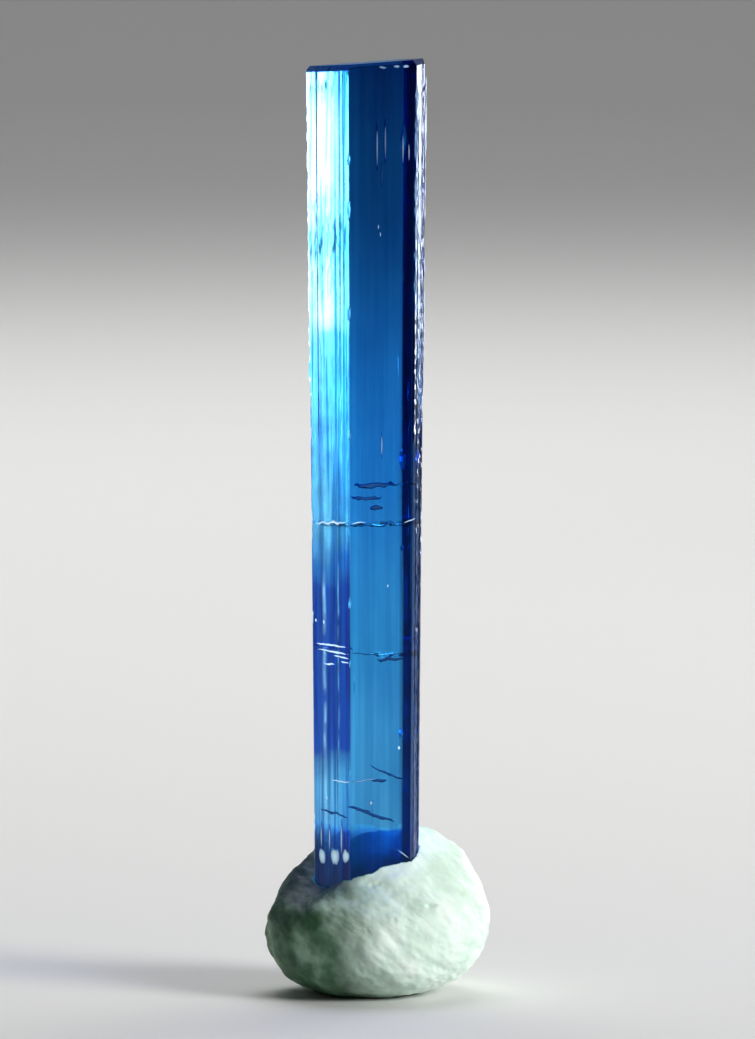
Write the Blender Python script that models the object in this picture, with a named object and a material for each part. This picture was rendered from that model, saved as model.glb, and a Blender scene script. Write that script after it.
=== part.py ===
"""A blue tourmaline crystal standing in a lump of mounting putty.

The crystal is a slim striated prism that widens a little towards its flat top. Its broken foot is
pressed into the putty, and the putty is squashed flat where it rests. Z is up, X runs to the right
along the broad front face, Y runs away from it, and the origin is on the surface that the lump
rests on, under the middle of the whole.
"""

import random
from math import cos, radians, sin, tan

import bmesh
import bpy
from mathutils import Euler, Matrix, Vector

MM = 0.001

# The whole specimen
HEIGHT = 50.0 * MM
GAP = 0.3 * MM  # all round the foot of the crystal, between it and the putty

# The crystal: a six-sided prism, with the widths that its faces have at the top
FRONT_LEFT_WIDTH = 3.35 * MM
FRONT_WIDTH = 3.71 * MM
RIGHT_WIDTH = 1.73 * MM
BACK_RIGHT_WIDTH = 2.23 * MM
FACE_TURN = 60.0  # degrees from one face to the next
FRONT_TURN = 12.0  # degrees that the broad front face looks to the right
AXIS = Vector((-0.58, -1.25, 0)) * MM
FOOT_HEIGHT = 2.2 * MM
FOOT_SCALE = 0.875  # how much narrower the prism is at its foot
FOOT_BREAKS = [Vector((-0.22, 0.10, -1)), Vector((0.34, -0.16, -1))]  # planes of a blunt wedge
TOP_SLOPE = 5.2  # degrees that the top face falls to the left
TOP_CHAMFER = 0.22 * MM
CHAMFER_SCALE = 0.935  # how much narrower the chamfer makes the top face

# Growth ridges along each face: how many, and how deep the furrows between them are
RIDGES = {
    "front_left": (7, 0.070 * MM),
    "front": (5, 0.018 * MM),
    "right": (3, 0.060 * MM),
    "back_right": (5, 0.050 * MM),
    "back": (8, 0.035 * MM),
    "back_left": (1, 0.040 * MM),
}

# Ledges where an outer layer of the prism ends: the side that it is on, in degrees from +X, the
# height where it ends, how far the prism stands back below it, and how tall the broken step is
LEDGES = [
    (2.0, 32.4 * MM, 0.08 * MM, 0.55 * MM),
    (-30.0, 29.6 * MM, 0.05 * MM, 0.30 * MM),
    (176.0, 32.8 * MM, 0.07 * MM, 0.20 * MM),
    (184.0, 20.4 * MM, 0.07 * MM, 0.20 * MM),
    (180.0, 15.0 * MM, 0.06 * MM, 0.20 * MM),
    (60.0, 24.0 * MM, 0.10 * MM, 0.40 * MM),
    (110.0, 38.5 * MM, 0.08 * MM, 0.30 * MM),
]

# Chips knocked off the edges: the corner of the prism that each is on, its height and its depth
CHIPS = [
    ("right", 49.6 * MM, 0.26 * MM),
    ("right", 44.7 * MM, 0.09 * MM),
    ("right", 40.4 * MM, 0.15 * MM),
    ("right", 38.9 * MM, 0.12 * MM),
    ("right", 36.6 * MM, 0.10 * MM),
    ("right", 31.6 * MM, 0.12 * MM),
    ("right", 26.1 * MM, 0.10 * MM),
    ("right", 18.3 * MM, 0.09 * MM),
    ("front", 42.2 * MM, 0.10 * MM),
    ("front", 37.4 * MM, 0.09 * MM),
    ("left", 34.4 * MM, 0.10 * MM),
    ("left", 25.4 * MM, 0.09 * MM),
    ("back", 28.6 * MM, 0.14 * MM),
    ("back", 45.8 * MM, 0.16 * MM),
]
CHIP_CORNERS = {"front": 0, "right": 2, "back": 3, "left": 5}
CHIP_RADIUS = 0.62 * MM

# The putty: a squashed ball, wider than it is deep
PUTTY_WIDTH = 12.0 * MM
PUTTY_DEPTH = 10.8 * MM
PUTTY_WAIST = 3.95 * MM  # height where the lump is widest
PUTTY_CROWN = 4.53 * MM  # from there up to the top, before the crystal pushes it aside
PUTTY_BELLY = 4.16 * MM  # and down to where it would end if it weren't pressed flat
CROWN_FULLNESS = 2.05  # 2 is an ellipse, and more is squarer
BELLY_FULLNESS = 2.7
RISE_TO_BACK = 0.50  # how steeply the top of the lump slopes up to the back
RIGHT_LIFT = 0.50 * MM  # how much higher the right end of the lump sits
LIFT_START = -3.0 * MM  # the lift sets in here, and grows to the right
LIP_WIDTH = 0.9 * MM  # the putty that the crystal has pushed up round itself
LIP_HEIGHT = 0.12 * MM

# Where fingers have pressed the putty: where on the lump, how far round it reaches, how deep
DENTS = [
    (Vector((-4.0, -1.9, 7.0)) * MM, 3.2 * MM, 1.45 * MM),
    (Vector((-5.9, 0.4, 5.4)) * MM, 2.2 * MM, 0.50 * MM),
    (Vector((-4.2, 1.6, 7.6)) * MM, 3.0 * MM, 0.62 * MM),
    (Vector((5.8, 0.3, 6.0)) * MM, 2.0 * MM, 0.24 * MM),
    (Vector((-2.2, -4.6, 4.6)) * MM, 3.0 * MM, 0.22 * MM),
    (Vector((1.4, -4.4, 6.2)) * MM, 3.4 * MM, 0.22 * MM),
    (Vector((3.6, -4.2, 2.6)) * MM, 2.6 * MM, 0.14 * MM),
    (Vector((4.4, 3.0, 6.8)) * MM, 3.0 * MM, 0.26 * MM),
    (Vector((0.2, 5.4, 5.6)) * MM, 3.0 * MM, 0.34 * MM),
    (Vector((-4.4, 3.6, 2.6)) * MM, 3.0 * MM, 0.30 * MM),
]

CRYSTAL_COLOUR = (0.02, 0.13, 0.46, 1)
PUTTY_COLOUR = (0.76, 0.83, 0.76, 1)


def clear_scene():
    for obj in list(bpy.data.objects):
        bpy.data.objects.remove(obj)


def collection(name):
    made = bpy.data.collections.new(name)
    bpy.context.scene.collection.children.link(made)
    return made


def material(name, colour, roughness, transmission=0.0, ior=1.5):
    made = bpy.data.materials.new(name)
    made.use_nodes = True
    made.diffuse_color = colour
    shader = made.node_tree.nodes["Principled BSDF"].inputs
    shader["Base Color"].default_value = colour
    shader["Roughness"].default_value = roughness
    shader["Transmission Weight"].default_value = transmission
    shader["IOR"].default_value = ior
    return made


def add_object(name, bm, home, finish=None):
    """Turns the bmesh into an object of that name in the collection called home."""
    mesh = bpy.data.meshes.new(name)
    bmesh.ops.recalc_face_normals(bm, faces=bm.faces)
    bm.to_mesh(mesh)
    bm.free()
    obj = bpy.data.objects.new(name, mesh)
    if finish:
        mesh.materials.append(finish)
    home.objects.link(obj)
    return obj


def cut_away(obj, cutters, name):
    """Takes every object of a collection of cutters off obj."""
    for cutter in cutters.objects:
        cutter.hide_render = True
        cutter.display_type = "WIRE"
    cut = obj.modifiers.new(name, "BOOLEAN")
    cut.operation = "DIFFERENCE"
    cut.operand_type = "COLLECTION"
    cut.collection = cutters
    cut.solver = "EXACT"


# ---------------------------------------------------------------- the crystal


def face_normal(number):
    """Which way a face of the prism looks: 0 is front_left, and they go round to the right."""
    turn = radians(FRONT_TURN - 90 + FACE_TURN * (number - 1))
    return Vector((cos(turn), sin(turn), 0))


def face_widths():
    """The six widths in the order of RIDGES. The last two close the outline."""
    back = FRONT_LEFT_WIDTH + FRONT_WIDTH - BACK_RIGHT_WIDTH
    back_left = FRONT_WIDTH + RIGHT_WIDTH - back
    return [FRONT_LEFT_WIDTH, FRONT_WIDTH, RIGHT_WIDTH, BACK_RIGHT_WIDTH, back, back_left]


def prism_corners(scale=1.0):
    """The corners of the prism, centred on its axis. Corner 0 is the sharp front edge, between
    the front_left face and the front face."""
    corners = [Vector((0, 0, 0))]
    for number, width in list(enumerate(face_widths()))[1:]:
        along = Vector((0, 0, 1)).cross(face_normal(number))
        corners.append(corners[-1] + along * width)
    low_x, high_x = min(c.x for c in corners), max(c.x for c in corners)
    low_y, high_y = min(c.y for c in corners), max(c.y for c in corners)
    middle = Vector(((low_x + high_x) / 2, (low_y + high_y) / 2, 0))
    return [AXIS + (corner - middle) * scale for corner in corners]


def furrowed(start, end, inwards, ridges, depth, chance):
    """Points from start up to end, with a furrow between one ridge and the next. Ridges differ
    in width, and furrows in depth."""
    shares = [chance.uniform(0.5, 1.5) for _ in range(ridges)]
    points, reached = [start], 0.0
    for share in shares[:-1]:
        reached += share / sum(shares)
        sunk = depth * chance.uniform(0.5, 1.0)
        crest = start.lerp(end, reached - 0.25 / ridges)
        furrow = start.lerp(end, reached)
        points += [crest, furrow + inwards * sunk]
    return points


def crystal_outline():
    chance = random.Random(7)
    corners = prism_corners()
    outline = []
    for number, (ridges, depth) in enumerate(RIDGES.values()):
        start, end = corners[number - 1], corners[number]
        outline += furrowed(start, end, -face_normal(number), ridges, depth, chance)
    return outline


def grown_place(place):
    """Where a point of the straight prism lies on the real one, which narrows to its foot and
    stands back below each ledge."""
    share = (place.z - FOOT_HEIGHT) / (HEIGHT - FOOT_HEIGHT)
    scale = FOOT_SCALE + (1 - FOOT_SCALE) * share
    moved = Vector((*(AXIS.xy + (place.xy - AXIS.xy) * scale), place.z))
    for side, height, depth, step in LEDGES:
        if place.z > height + step / 2:
            continue
        out = Vector((cos(radians(side)), sin(radians(side)), 0))
        reach = max((corner - AXIS).dot(out) for corner in prism_corners(scale)) - depth
        beyond = (moved - AXIS).dot(out) - reach
        if beyond > 0:
            moved -= out * beyond
    return moved


def everything(bm):
    return bm.verts[:] + bm.edges[:] + bm.faces[:]


def slice_across(bm, point, normal, cut_off=False):
    """Cuts the mesh across with a plane. With cut_off, what is beyond it goes and the end is
    closed."""
    cut = bmesh.ops.bisect_plane(
        bm,
        geom=everything(bm),
        dist=1e-7,
        plane_co=point,
        plane_no=normal,
        clear_outer=cut_off,
    )
    if cut_off:
        rim = [e for e in cut["geom_cut"] if isinstance(e, bmesh.types.BMEdge)]
        bmesh.ops.contextual_create(bm, geom=rim)


def crystal_blank():
    """The prism with its ridges, ledges, chamfered top and broken foot, but no chips."""
    bm = bmesh.new()
    outline = bm.faces.new([bm.verts.new(p) for p in crystal_outline()])
    end = bmesh.ops.extrude_face_region(bm, geom=[outline])["geom"]
    lifted = [v for v in end if isinstance(v, bmesh.types.BMVert)]
    bmesh.ops.translate(bm, vec=Vector((0, 0, HEIGHT - TOP_CHAMFER)), verts=lifted)
    for _, height, _, step in LEDGES:
        slice_across(bm, Vector((0, 0, height)), Vector((0, 0, 1)))
        slice_across(bm, Vector((0, 0, height + step)), Vector((0, 0, 1)))
    for vert in bm.verts:
        vert.co = grown_place(vert.co)

    bm.faces.ensure_lookup_table()
    top = max(bm.faces, key=lambda face: face.calc_center_median().z)
    end = bmesh.ops.extrude_face_region(bm, geom=[top])["geom"]
    bmesh.ops.delete(bm, geom=[top], context="FACES_ONLY")
    lifted = [v for v in end if isinstance(v, bmesh.types.BMVert)]
    around_axis = Matrix.Translation(-AXIS)
    narrower = Vector((CHAMFER_SCALE, CHAMFER_SCALE, 1))
    bmesh.ops.scale(bm, vec=narrower, space=around_axis, verts=lifted)
    bmesh.ops.translate(bm, vec=Vector((0, 0, TOP_CHAMFER)), verts=lifted)
    highest_x = max(v.co.x for v in lifted)
    for vert in bm.verts:
        if vert.co.z > HEIGHT - 2 * TOP_CHAMFER:
            vert.co.z -= (highest_x - vert.co.x) * tan(radians(TOP_SLOPE))

    foot = AXIS + Vector((0, 0, FOOT_HEIGHT))
    for break_normal in FOOT_BREAKS:
        slice_across(bm, foot, break_normal, cut_off=True)
    return bm


def chip_cutters(home):
    """A faceted pebble at each chip, turned its own way, that scoops a little off the edge."""
    chance = random.Random(3)
    for number, (corner, height, depth) in enumerate(CHIPS):
        edge = grown_place(prism_corners()[CHIP_CORNERS[corner]] + Vector((0, 0, height)))
        out = (edge - AXIS).xy.normalized().to_3d()
        long = Matrix.Diagonal((1, 1, chance.uniform(0.8, 2.2), 1))
        turn = Euler([chance.uniform(-0.5, 0.5) for _ in range(3)]).to_matrix().to_4x4()
        bm = bmesh.new()
        bmesh.ops.create_icosphere(bm, subdivisions=2, radius=CHIP_RADIUS, matrix=turn @ long)
        nearest = min(v.co.dot(out) for v in bm.verts)
        bmesh.ops.translate(bm, vec=edge - out * (nearest + depth), verts=bm.verts)
        add_object(f"chip_cutter_{number}", bm, home)


def make_crystal(home, cutters):
    glassy = material("tourmaline", CRYSTAL_COLOUR, 0.06, transmission=0.8, ior=1.63)
    crystal = add_object("crystal", crystal_blank(), home, glassy)
    chip_cutters(cutters)
    cut_away(crystal, cutters, "Chips")
    return crystal


# ------------------------------------------------------------------ the putty


def pocket_corners():
    """The prism's section at the mouth of the pocket, with the gap added on every side."""
    mouth = (PUTTY_WAIST + PUTTY_CROWN - FOOT_HEIGHT) / (HEIGHT - FOOT_HEIGHT)
    corners = prism_corners(FOOT_SCALE + (1 - FOOT_SCALE) * mouth)
    moved = []
    for number, corner in enumerate(corners):
        one, other = face_normal(number), face_normal(number + 1)
        moved.append(corner + (one + other) * GAP / (1 + one.dot(other)))
    return moved


def distance_to_crystal(place):
    """How far a point is from the sides of the prism in plan: negative inside it."""
    corners = prism_corners(FOOT_SCALE)
    return max((place - corners[n]).xy.dot(face_normal(n).xy) for n in range(len(corners)))


def lump_place(way):
    """Where the unit direction way meets the surface of the lump, before the flat is cut."""
    above = way.z > 0
    height = PUTTY_CROWN if above else PUTTY_BELLY
    power = CROWN_FULLNESS if above else BELLY_FULLNESS
    level = Vector((2 * way.x / PUTTY_WIDTH, 2 * way.y / PUTTY_DEPTH)).length
    place = way * (level**power + abs(way.z / height) ** power) ** (-1 / power)
    if above:
        place.z *= 1 + RISE_TO_BACK * place.y / PUTTY_CROWN
    lifted = max(0.0, place.x - LIFT_START) / (PUTTY_WIDTH / 2 - LIFT_START)
    place.z += PUTTY_WAIST + RIGHT_LIFT * lifted**2
    return place


def dented(place):
    """Sinks a point of the lump towards its middle by what the fingers have pressed there."""
    inwards = (Vector((0, 0, PUTTY_WAIST)) - place).normalized()
    sunk = 0.0
    for middle, radius, depth in DENTS:
        away = (place - middle).length / radius
        sunk += depth * max(0.0, 1 - away**2) ** 2
    return place + inwards * sunk


def with_lip(place):
    """Raises the putty a little where the crystal has pushed it up."""
    away = max(0.0, distance_to_crystal(place)) / LIP_WIDTH
    if place.z > PUTTY_WAIST and away < 1:
        place.z += LIP_HEIGHT * (1 - away) ** 2
    return place


def make_putty(home, cutters):
    bm = bmesh.new()
    bmesh.ops.create_uvsphere(bm, u_segments=60, v_segments=30, radius=1)
    for vert in bm.verts:
        vert.co = with_lip(dented(lump_place(vert.co.normalized())))
    slice_across(bm, Vector((0, 0, 0)), Vector((0, 0, -1)), cut_off=True)
    putty = add_object("putty", bm, home, material("putty", PUTTY_COLOUR, 0.55))
    putty.data.shade_smooth()

    pocket = bmesh.new()
    floor = pocket.faces.new([pocket.verts.new(corner) for corner in pocket_corners()])
    end = bmesh.ops.extrude_face_region(pocket, geom=[floor])["geom"]
    lifted = [v for v in end if isinstance(v, bmesh.types.BMVert)]
    bmesh.ops.translate(pocket, vec=Vector((0, 0, PUTTY_DEPTH)), verts=lifted)
    bmesh.ops.translate(pocket, vec=Vector((0, 0, FOOT_HEIGHT - 2 * GAP)), verts=pocket.verts)
    add_object("pocket_cutter", pocket, cutters)
    cut_away(putty, cutters, "Pocket")
    return putty


def main():
    clear_scene()
    specimen = collection("tourmaline_specimen")
    make_crystal(specimen, collection("chip_cutters"))
    make_putty(specimen, collection("pocket_cutters"))


main()
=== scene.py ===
"""A blue tourmaline crystal standing in a lump of mounting putty, on a plain pale cove."""

import random
from math import cos, hypot, pi, radians, sin, tan

import bmesh
import bpy
from mathutils import Matrix, Vector, noise


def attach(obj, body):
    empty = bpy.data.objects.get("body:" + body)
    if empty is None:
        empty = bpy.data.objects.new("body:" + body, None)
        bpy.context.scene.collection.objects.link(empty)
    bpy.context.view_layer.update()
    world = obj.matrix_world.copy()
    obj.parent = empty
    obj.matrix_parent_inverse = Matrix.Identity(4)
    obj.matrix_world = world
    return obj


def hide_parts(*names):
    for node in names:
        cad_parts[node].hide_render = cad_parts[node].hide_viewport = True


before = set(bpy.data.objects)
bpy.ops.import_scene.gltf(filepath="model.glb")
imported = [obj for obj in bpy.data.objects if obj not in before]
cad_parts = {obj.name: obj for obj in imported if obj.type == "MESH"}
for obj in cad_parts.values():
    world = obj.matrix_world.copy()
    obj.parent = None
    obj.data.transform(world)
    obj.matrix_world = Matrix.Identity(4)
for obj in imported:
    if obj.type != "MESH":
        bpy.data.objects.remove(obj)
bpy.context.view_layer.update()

# --------------------------------------------- the crystal
# A slim prism of clear blue tourmaline that grew lengthwise, so its six faces carry fine ridges
# and furrows from foot to top. It is broken off below, worn and chipped along its right side, and
# its foot is pressed into the putty.

MM = 0.001
UP = Vector((0, 0, 1))

# The crystal stands upright. Its foot is FOOT_SCALE times as wide as its top and is broken off by
# two breaks, which face these ways. The front face is turned to the right, in degrees.
CRYSTAL_AXIS = Vector((-0.58, -1.25, 0)) * MM
CRYSTAL_TOP = 50.0 * MM
FOOT_HEIGHT = 2.2 * MM
FOOT_SCALE = 0.875
FOOT_BREAKS = [Vector((-0.22, 0.10, -1)), Vector((0.34, -0.16, -1))]
FRONT_TURN = 12.0
FRONT_LEFT, FRONT, RIGHT, BACK_RIGHT, BACK, BACK_LEFT = range(6)
FRONT_LEFT_WIDTH, FRONT_WIDTH = 3.35 * MM, 3.71 * MM
RIGHT_WIDTH, BACK_RIGHT_WIDTH = 1.73 * MM, 2.23 * MM
BACK_WIDTH = FRONT_LEFT_WIDTH + FRONT_WIDTH - BACK_RIGHT_WIDTH
BACK_LEFT_WIDTH = FRONT_WIDTH + RIGHT_WIDTH - BACK_WIDTH
FACE_WIDTHS = [
    FRONT_LEFT_WIDTH, FRONT_WIDTH, RIGHT_WIDTH, BACK_RIGHT_WIDTH, BACK_WIDTH, BACK_LEFT_WIDTH
]


def outward(degrees):
    """The level direction that is turned so far round from +X."""
    return Vector((cos(radians(degrees)), sin(radians(degrees)), 0))


FACE_NORMALS = [outward(FRONT_TURN - 90 + 60 * (face - 1)) for face in range(6)]
FACE_RUNS = [UP.cross(normal) for normal in FACE_NORMALS]


def prism_corners():
    """The corners at the top of the prism. Face n runs from corner n - 1 to corner n."""
    corners = [Vector((0, 0, 0))]
    for width, run in zip(FACE_WIDTHS[1:], FACE_RUNS[1:]):
        corners.append(corners[-1] + run * width)
    middle = Vector([(min(c[i] for c in corners) + max(c[i] for c in corners)) / 2 for i in range(3)])
    return [CRYSTAL_AXIS + corner - middle for corner in corners]


CORNERS = prism_corners()


def face_place(place):
    """Which face of the straight prism a point is on, and how far along it."""
    face = max(range(6), key=lambda n: (place - CORNERS[n]).dot(FACE_NORMALS[n]))
    return face, (place - CORNERS[face - 1]).dot(FACE_RUNS[face])


# Furrows: the face, how many, how deep the deepest and how wide the widest are in mm, and the
# stretch of the face's width that they lie in, as shares of it
FURROWS = [
    (FRONT_LEFT, 12, 0.012, 0.90, 0.00, 1.00),
    (FRONT_LEFT, 9, 0.022, 0.24, 0.62, 1.00),
    (FRONT_LEFT, 6, 0.020, 0.24, 0.05, 0.60),
    (FRONT, 8, 0.006, 0.90, 0.00, 1.00),
    (FRONT, 5, 0.008, 0.20, 0.10, 1.00),
    (RIGHT, 12, 0.070, 0.24, 0.00, 1.00),
    (BACK_RIGHT, 11, 0.040, 0.28, 0.00, 1.00),
    (BACK, 14, 0.008, 0.60, 0.00, 1.00),
    (BACK_LEFT, 3, 0.030, 0.20, 0.00, 1.00),
]
# The lower ends and the lengths of the furrows, in mm. One that stops short fades out at its end.
FURROW_STARTS, FURROW_LENGTHS = (-30, 34), (14, 60)
FURROW_FADE = 2.5 * MM
LEAST = 0.3  # the smallest share of the greatest depth and width that a furrow has

chance = random.Random(11)
furrows = {face: [] for face in range(6)}
for face, count, depth, width, start, end in FURROWS:
    for _ in range(count):
        half = width * MM * chance.uniform(LEAST, 1.0) / 2
        middle = FACE_WIDTHS[face] * chance.uniform(start, end)
        low = chance.uniform(*FURROW_STARTS) * MM
        high = low + chance.uniform(*FURROW_LENGTHS) * MM
        deepest = depth * MM * chance.uniform(LEAST, 1.0)
        furrows[face].append((middle, half, deepest, low, high))


def furrow_depth(face, along, height):
    """How deep the furrows of a face cut there. The deepest one counts."""
    depth = 0.0
    for middle, half, deepest, low, high in furrows[face]:
        across = 1 - abs(along - middle) / half
        within = min(height - low, high - height) / FURROW_FADE
        if across > 0 and within > 0:
            depth = max(depth, deepest * across * min(1.0, within))
    return depth


def girth(height):
    """How wide the prism is at a height, as a share of its width at the top."""
    return FOOT_SCALE + (1 - FOOT_SCALE) * (height - FOOT_HEIGHT) / (CRYSTAL_TOP - FOOT_HEIGHT)


# Ledges where an outer growth layer ends: the side in degrees from +X, and in mm the height where
# it ends, how far the prism stands back below it, and how ragged its end is
LEDGES = [
    (2.0, 32.5, 0.08, 0.9),
    (-30.0, 29.7, 0.05, 0.6),
    (176.0, 32.9, 0.07, 0.3),
    (184.0, 20.5, 0.07, 0.3),
    (180.0, 15.1, 0.06, 0.3),
    (60.0, 24.2, 0.06, 0.7),
]
LEDGE_TOOTH = 0.35 * MM  # how wide the teeth of a ragged end are
ledge_reach = []
for side, height, depth, ragged in LEDGES:
    out = outward(side)
    reach = max((corner - CRYSTAL_AXIS).dot(out) for corner in CORNERS)
    ledge_reach.append((out, height * MM, depth * MM, ragged * MM, reach))


def grown(place):
    """Where a point of the straight prism lies once it narrows to its foot and stands back below
    each ledge, and whether a ledge took it."""
    scale = girth(place.z)
    moved = CRYSTAL_AXIS + (place - CRYSTAL_AXIS) * scale
    moved.z = place.z
    taken = False
    for out, height, depth, ragged, reach in ledge_reach:
        if place.z > height + ragged / 2:
            continue
        beyond = (moved - CRYSTAL_AXIS).dot(out) - reach * scale + depth
        if beyond > 0:
            tooth = noise.noise(Vector((place.x, place.y, height)) / LEDGE_TOOTH) * ragged
            if place.z < height + tooth:
                moved -= out * beyond
                taken = True
    return moved, taken


# Chips off the corners: the corner, and in mm the height, how deep the scoop bites, and its radius.
# These are the large ones, and the right side is worn all the way by small ones.
CHIPS = [
    (RIGHT, 49.7, 0.24, 0.60),
    (RIGHT, 44.7, 0.09, 0.50),
    (RIGHT, 44.0, 0.08, 0.40),
    (RIGHT, 41.2, 0.11, 0.60),
    (RIGHT, 40.3, 0.14, 0.50),
    (RIGHT, 37.8, 0.10, 0.50),
    (RIGHT, 33.4, 0.10, 0.60),
    (RIGHT, 31.6, 0.09, 0.60),
    (RIGHT, 27.5, 0.08, 0.50),
    (RIGHT, 23.3, 0.07, 0.45),
    (RIGHT, 18.7, 0.08, 0.45),
    (FRONT_LEFT, 44.7, 0.07, 0.35),
    (FRONT_LEFT, 36.6, 0.08, 0.40),
    (BACK_LEFT, 34.4, 0.08, 0.50),
    (BACK_LEFT, 25.4, 0.07, 0.45),
    (BACK_RIGHT, 28.6, 0.12, 0.60),
    (BACK_RIGHT, 45.8, 0.14, 0.60),
]
SMALL_CHIPS = {  # down each corner, how many there are and where the lowest may be, in mm
    FRONT_LEFT: (10, 8),
    FRONT: (30, 36.5),
    RIGHT: (44, 8),
    BACK_RIGHT: (5, 8),
    BACK: (8, 8),
    BACK_LEFT: (26, 8),
}
# Their radius in mm, and their depth as a share of it. Every scoop lies a little aside of its
# corner, as a share of its depth, and is taller than it is wide, or a little less tall.
SMALL_RADIUS, SMALL_DEPTH = (0.15, 0.42), (0.08, 0.22)
SCOOP_ASIDE, SCOOP_TALLNESS = (-0.7, 0.7), (0.8, 2.4)
chips = [(corner, *(size * MM for size in sizes)) for corner, *sizes in CHIPS]
for corner, (count, lowest) in SMALL_CHIPS.items():
    for _ in range(count):
        radius = chance.uniform(*SMALL_RADIUS) * MM
        height = chance.uniform(lowest * MM, CRYSTAL_TOP)
        depth = radius * chance.uniform(*SMALL_DEPTH)
        chips.append((corner, height, depth, radius))

scoops = []
for corner, height, depth, radius in chips:
    edge, taken = grown(CORNERS[corner] + UP * height)
    out = (edge - CRYSTAL_AXIS).xy.normalized().to_3d()
    side = UP.cross(out) * chance.uniform(*SCOOP_ASIDE) * depth
    middle = edge + side + out * (radius - depth)
    scoops.append((middle, radius, chance.uniform(*SCOOP_TALLNESS)))


def scooped(place):
    """Pushes a point out of every scoop, and gives 1 if it was in one and 0 if not."""
    worn = 0.0
    for middle, radius, tall in scoops:
        if abs(place.z - middle.z) > radius * tall:
            continue
        way = place - middle
        way.z /= tall
        if way.length < radius:
            way *= radius / way.length
            way.z *= tall
            place, worn = middle + way, 1.0
    return place, worn


# The sides are a grid of columns and levels, taller than the crystal by what the top cuts off
COLUMN_STEP = 0.065 * MM
LEVELS = 190
TOP_SPARE = 0.5 * MM

bm = bmesh.new()
ring = bmesh.ops.create_circle(bm, segments=6, radius=MM)["verts"]
for vert, corner in zip(ring, CORNERS):
    vert.co = corner
for edge in list(bm.edges):
    cuts = int(edge.calc_length() / COLUMN_STEP)
    bmesh.ops.subdivide_edges(bm, edges=[edge], cuts=cuts)
grown_up = bmesh.ops.extrude_edge_only(bm, edges=bm.edges[:])["geom"]
bmesh.ops.translate(
    bm,
    vec=UP * (CRYSTAL_TOP + TOP_SPARE),
    verts=[v for v in grown_up if isinstance(v, bmesh.types.BMVert)],
)
uprights = [e for e in bm.edges if abs(e.verts[0].co.z - e.verts[1].co.z) > MM]
bmesh.ops.subdivide_edges(bm, edges=uprights, cuts=LEVELS, use_grid_fill=True)

# The front face is darker along its right edge, this many mm wide at each height in mm. Low down the
# dark band takes in the right face too, up to a height that rises towards that face's front edge; there it
# is painted shade.
DARK_BAND = [(8, 0.76), (21, 0.82), (27, 0.98), (38, 0.86), (43, 0.72), (51, 0.62)]
DARK_BAND_FADE = 3.0  # it has faded in after its width divided by this
DARK_BAND_RIGHT_FACE, DARK_BAND_FRONT_RISE, DARK_BAND_RISE_FADE = 32.0 * MM, 6.0 * MM, 1.6 * MM
# The front face has a paler strip along its left edge
PALE_STRIP = 0.80 * MM
# Frosted lines run down the front-left face: where across it as a share, half how wide in mm, and
# the two heights in mm that they run between. They stray sideways and are broken here and there.
FROSTED_LINES = [(0.34, 0.15, 8, 23), (0.70, 0.08, 9, 24), (0.95, 0.06, 24, 48), (0.80, 0.04, 26, 40)]
LINE_STRAY, STRAY_LENGTH, BREAK_LENGTH = 0.05 * MM, 1.2 * MM, 0.9 * MM
# The right face is pitted, worn in patches, and worn all along its rear edge, over this width
PITTING_DEPTH, PITTING_SIZE = 0.022 * MM, 0.26 * MM
WORN_PATCH, WORN_RIM = 0.4 * MM, 0.14 * MM
# How worn each place is, where 1 is as frosted as a fresh chip
WORN_SIDES = {RIGHT: 0.50, BACK_RIGHT: 0.06}
WORN_ON_RIM, WORN_ON_LINES, WORN_ON_LEDGES = 0.7, 0.40, 0.8


def dark_band_width(height):
    """How wide the dark band of the front face is at a height."""
    for (low, low_width), (high, high_width) in zip(DARK_BAND, DARK_BAND[1:]):
        share = (height / MM - low) / (high - low)
        if share < 1:
            return (low_width + (high_width - low_width) * max(0.0, share)) * MM
    return high_width * MM


def held(value):
    """value, brought back to 0 or 1 where it goes beyond them."""
    return min(1.0, max(0.0, value))


def patchy_share(place, level, contrast):
    """A share that noise raises and lowers from place to place, about a level."""
    return held(level + contrast * noise.noise(place))
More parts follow.
